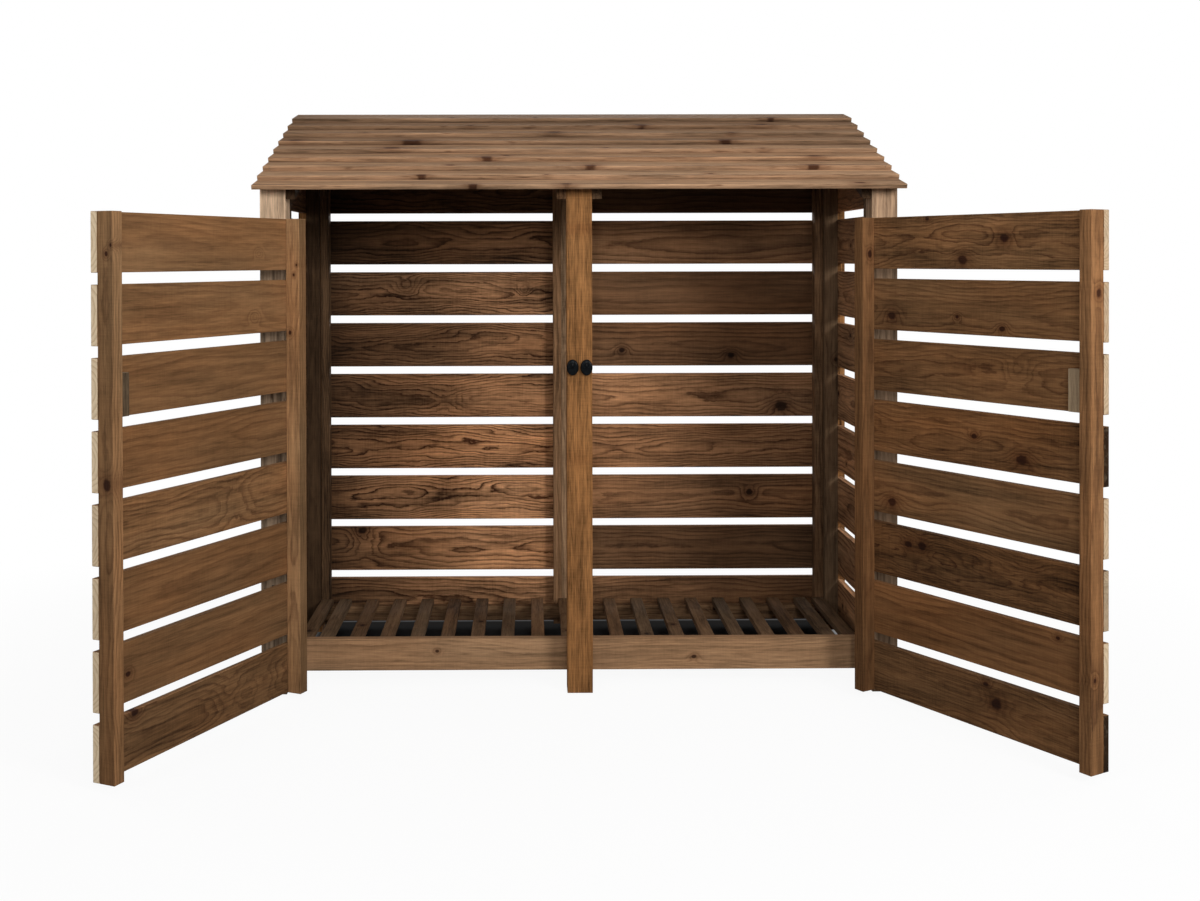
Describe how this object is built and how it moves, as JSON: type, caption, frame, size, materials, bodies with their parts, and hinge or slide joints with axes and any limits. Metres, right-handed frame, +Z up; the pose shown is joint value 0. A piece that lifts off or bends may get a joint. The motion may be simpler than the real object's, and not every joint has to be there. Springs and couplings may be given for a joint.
{
  "type": "log store",
  "caption": "Free-standing slatted timber log store with a lapped-board pent roof, open bays side by side, a raised batten floor, and slatted doors held shut by turn buttons.",
  "frame": {"origin": "middle of the foot of the centre front post, on the ground", "axes": "+X to the store's right seen from the front, +Y to its back, +Z up"},
  "size_m": [2.4296, 1.5149, 1.754],
  "materials": {
    "post_wood": "brown stained sawn softwood",
    "wall_wood": "brown stained sawn softwood",
    "batten_wood": "brown stained sawn softwood",
    "door_wood": "brown stained sawn softwood",
    "roof_wood": "brown stained sawn softwood, paler",
    "hinge_metal": "black painted steel",
    "black_iron": "black, satin"
  },
  "bodies": {
    "store": {"front_left_post": "post_wood", "front_centre_post": "post_wood", "front_right_post": "post_wood", "rear_left_post": "post_wood", "rear_centre_post": "post_wood", "rear_right_post": "post_wood", "left_back_slats": "wall_wood", "right_back_slats": "wall_wood", "left_side_slats": "wall_wood", "right_side_slats": "wall_wood", "back_battens": "batten_wood", "left_side_battens": "batten_wood", "right_side_battens": "batten_wood", "front_rail": "batten_wood", "floor_bearers": "batten_wood", "left_floor_battens": "batten_wood", "right_floor_battens": "batten_wood", "left_rafter": "batten_wood", "left_middle_rafter": "batten_wood", "right_middle_rafter": "batten_wood", "right_rafter": "batten_wood", "roof_board_1": "roof_wood", "roof_board_2": "roof_wood", "roof_board_3": "roof_wood", "roof_board_4": "roof_wood", "roof_board_5": "roof_wood", "roof_board_6": "roof_wood", "roof_board_7": "roof_wood", "roof_board_8": "roof_wood", "roof_board_9": "roof_wood", "left_post_hinges": "hinge_metal", "right_post_hinges": "hinge_metal", "button_screws": "black_iron"},
    "left_door": {"left_door_slats": "door_wood", "left_door_hinge_stile": "door_wood", "left_door_free_stile": "door_wood", "left_door_block": "door_wood", "left_door_straps": "hinge_metal"},
    "right_door": {"right_door_slats": "door_wood", "right_door_hinge_stile": "door_wood", "right_door_free_stile": "door_wood", "right_door_block": "door_wood", "right_door_straps": "hinge_metal"},
    "left_turn_button": {"left_turn_button": "black_iron"},
    "right_turn_button": {"right_turn_button": "black_iron"}
  },
  "joints": [
    {"name": "left_door_hinge", "type": "hinge", "parent": "store", "child": "left_door", "pos_m": [-0.8455, -0.0415, 0.7], "axis": [0, 0, 1], "range_deg": [-30, 115]},
    {"name": "right_door_hinge", "type": "hinge", "parent": "store", "child": "right_door", "pos_m": [0.8455, -0.0415, 0.7], "axis": [0, 0, -1], "range_deg": [-30, 120.4]},
    {"name": "left_turn_button_pivot", "type": "hinge", "parent": "store", "child": "left_turn_button", "pos_m": [-0.0202, -0.0475, 0.951], "axis": [0, 1, 0], "range_deg": [0, 90]},
    {"name": "right_turn_button_pivot", "type": "hinge", "parent": "store", "child": "right_turn_button", "pos_m": [0.0202, -0.0475, 0.951], "axis": [0, -1, 0], "range_deg": [0, 90]}
  ]
}
